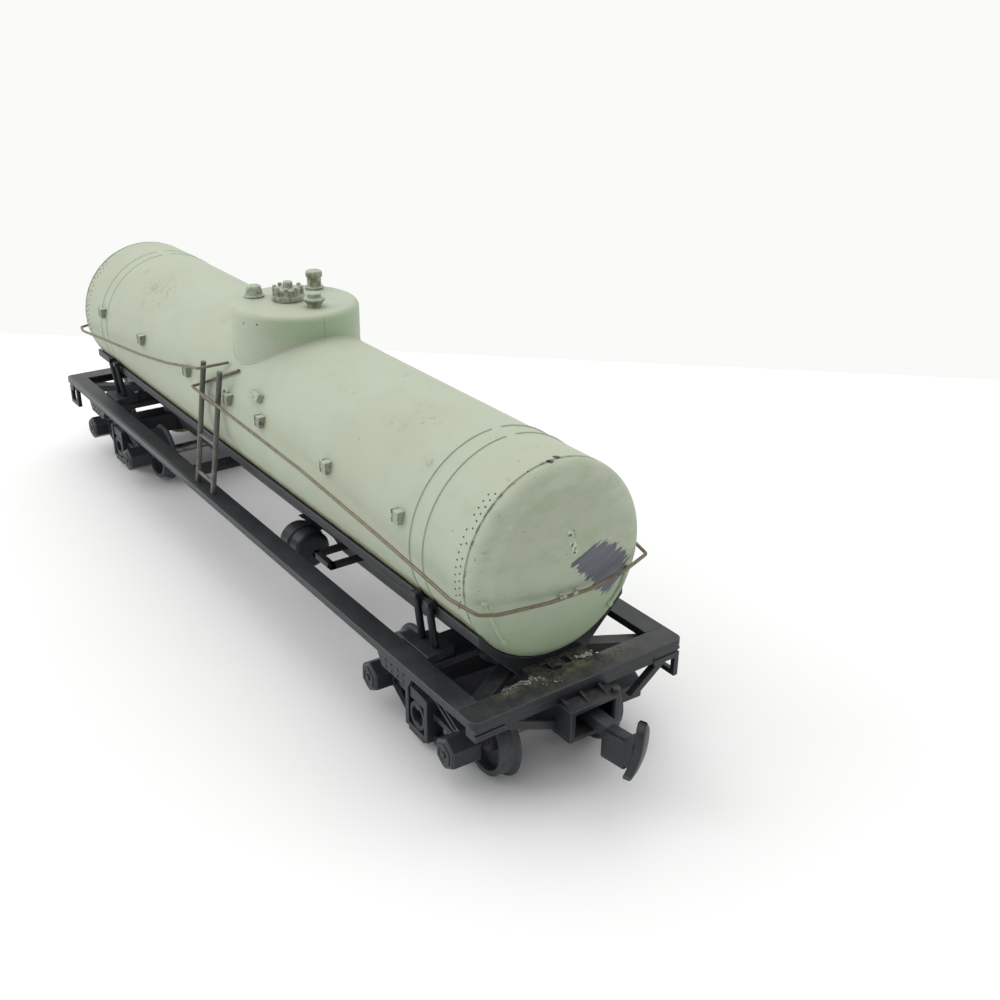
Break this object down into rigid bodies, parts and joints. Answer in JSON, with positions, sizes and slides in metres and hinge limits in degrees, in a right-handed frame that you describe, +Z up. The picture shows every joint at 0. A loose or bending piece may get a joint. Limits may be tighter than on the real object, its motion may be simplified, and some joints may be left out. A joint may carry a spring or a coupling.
{
  "type": "scale model railway tank car",
  "caption": "Small-scale model tank car: green barrel with expansion dome and wire handrail, black frame with running boards, swivelling trucks and hook couplers.",
  "frame": {"origin": "middle of the car at the bottom of the wheel flanges", "axes": "+X along the car to its front end, +Y across, +Z up"},
  "size_m": [0.173, 0.035, 0.0507],
  "materials": {
    "tank_paint": "sage green paint on plastic, worn, with small chips",
    "frame_black": "black moulded plastic, dusty",
    "truck_black": "black moulded plastic",
    "wheel_black": "black moulded plastic, tread polished by use",
    "axle_steel": "dull steel",
    "pin_metal": "dull brass",
    "coupler_black": "black acetal plastic",
    "wire_metal": "steel wire with brown rust",
    "ladder_plastic": "dark grey plastic, dusty"
  },
  "bodies": {
    "car": {"band_tie_rods": "frame_black", "body_bolsters": "frame_black", "bolster_pads": "frame_black", "bolster_webs": "frame_black", "brake_cylinder": "frame_black", "brake_cylinder_bracket": "frame_black", "brake_lever_bracket": "frame_black", "broken_strut": "frame_black", "centre_plates": "frame_black", "centre_sill": "frame_black", "corner_braces": "frame_black", "corner_steps": "frame_black", "coupler_box_covers": "frame_black", "coupler_boxes": "frame_black", "cross_arms": "frame_black", "dome": "tank_paint", "dome_valve_caps": "tank_paint", "draft_plates": "frame_black", "end_boards": "frame_black", "end_sills": "frame_black", "front_handrail": "wire_metal", "head_strips": "tank_paint", "king_pins": "pin_metal", "ladders": "ladder_plastic", "manway_cover": "tank_paint", "rear_handrail": "wire_metal", "side_boards": "frame_black", "side_brackets": "tank_paint", "tank_bands": "tank_paint", "tank_barrel": "tank_paint", "tank_cradle": "frame_black", "tank_heads": "tank_paint", "wire_clips": "tank_paint"},
    "front_truck": {"front_truck_bolster": "truck_black", "front_truck_side_frames": "truck_black", "front_truck_springs": "truck_black"},
    "rear_truck": {"rear_truck_bolster": "truck_black", "rear_truck_side_frames": "truck_black", "rear_truck_springs": "truck_black"},
    "front_coupler_arm": {"front_coupler": "coupler_black"},
    "front_inner_wheelset": {"front_inner_axle": "axle_steel", "front_inner_wheels": "wheel_black"},
    "front_outer_wheelset": {"front_outer_axle": "axle_steel", "front_outer_wheels": "wheel_black"},
    "rear_coupler_arm": {"rear_coupler": "coupler_black"},
    "rear_inner_wheelset": {"rear_inner_axle": "axle_steel", "rear_inner_wheels": "wheel_black"},
    "rear_outer_wheelset": {"rear_outer_axle": "axle_steel", "rear_outer_wheels": "wheel_black"}
  },
  "joints": [
    {"name": "front_truck_swivel", "type": "hinge", "parent": "car", "child": "front_truck", "pos_m": [0.0584, 0, 0.011], "axis": [0, 0, 1], "range_deg": [-5.2, 10.8]},
    {"name": "front_outer_wheelset_spin", "type": "hinge", "parent": "front_truck", "child": "front_outer_wheelset", "pos_m": [0.06889, -0.00051, 0.00575], "axis": [0.0488, 0.9988, 0], "continuous": true},
    {"name": "front_inner_wheelset_spin", "type": "hinge", "parent": "front_truck", "child": "front_inner_wheelset", "pos_m": [0.04791, 0.00051, 0.00575], "axis": [0.0488, 0.9988, 0], "continuous": true},
    {"name": "front_coupler_swing", "type": "hinge", "parent": "car", "child": "front_coupler_arm", "pos_m": [0.0741, 0, 0.0112], "axis": [0, 0, 1], "range_deg": [-28, 12]},
    {"name": "rear_truck_swivel", "type": "hinge", "parent": "car", "child": "rear_truck", "pos_m": [-0.0584, 0, 0.011], "axis": [0, 0, 1], "range_deg": [-8, 8]},
    {"name": "rear_outer_wheelset_spin", "type": "hinge", "parent": "rear_truck", "child": "rear_outer_wheelset", "pos_m": [-0.0689, 0, 0.00575], "axis": [0, 1, 0], "continuous": true},
    {"name": "rear_inner_wheelset_spin", "type": "hinge", "parent": "rear_truck", "child": "rear_inner_wheelset", "pos_m": [-0.0479, 0, 0.00575], "axis": [0, 1, 0], "continuous": true},
    {"name": "rear_coupler_swing", "type": "hinge", "parent": "car", "child": "rear_coupler_arm", "pos_m": [-0.0741, 0, 0.0112], "axis": [0, 0, 1], "range_deg": [-28, 12]}
  ]
}
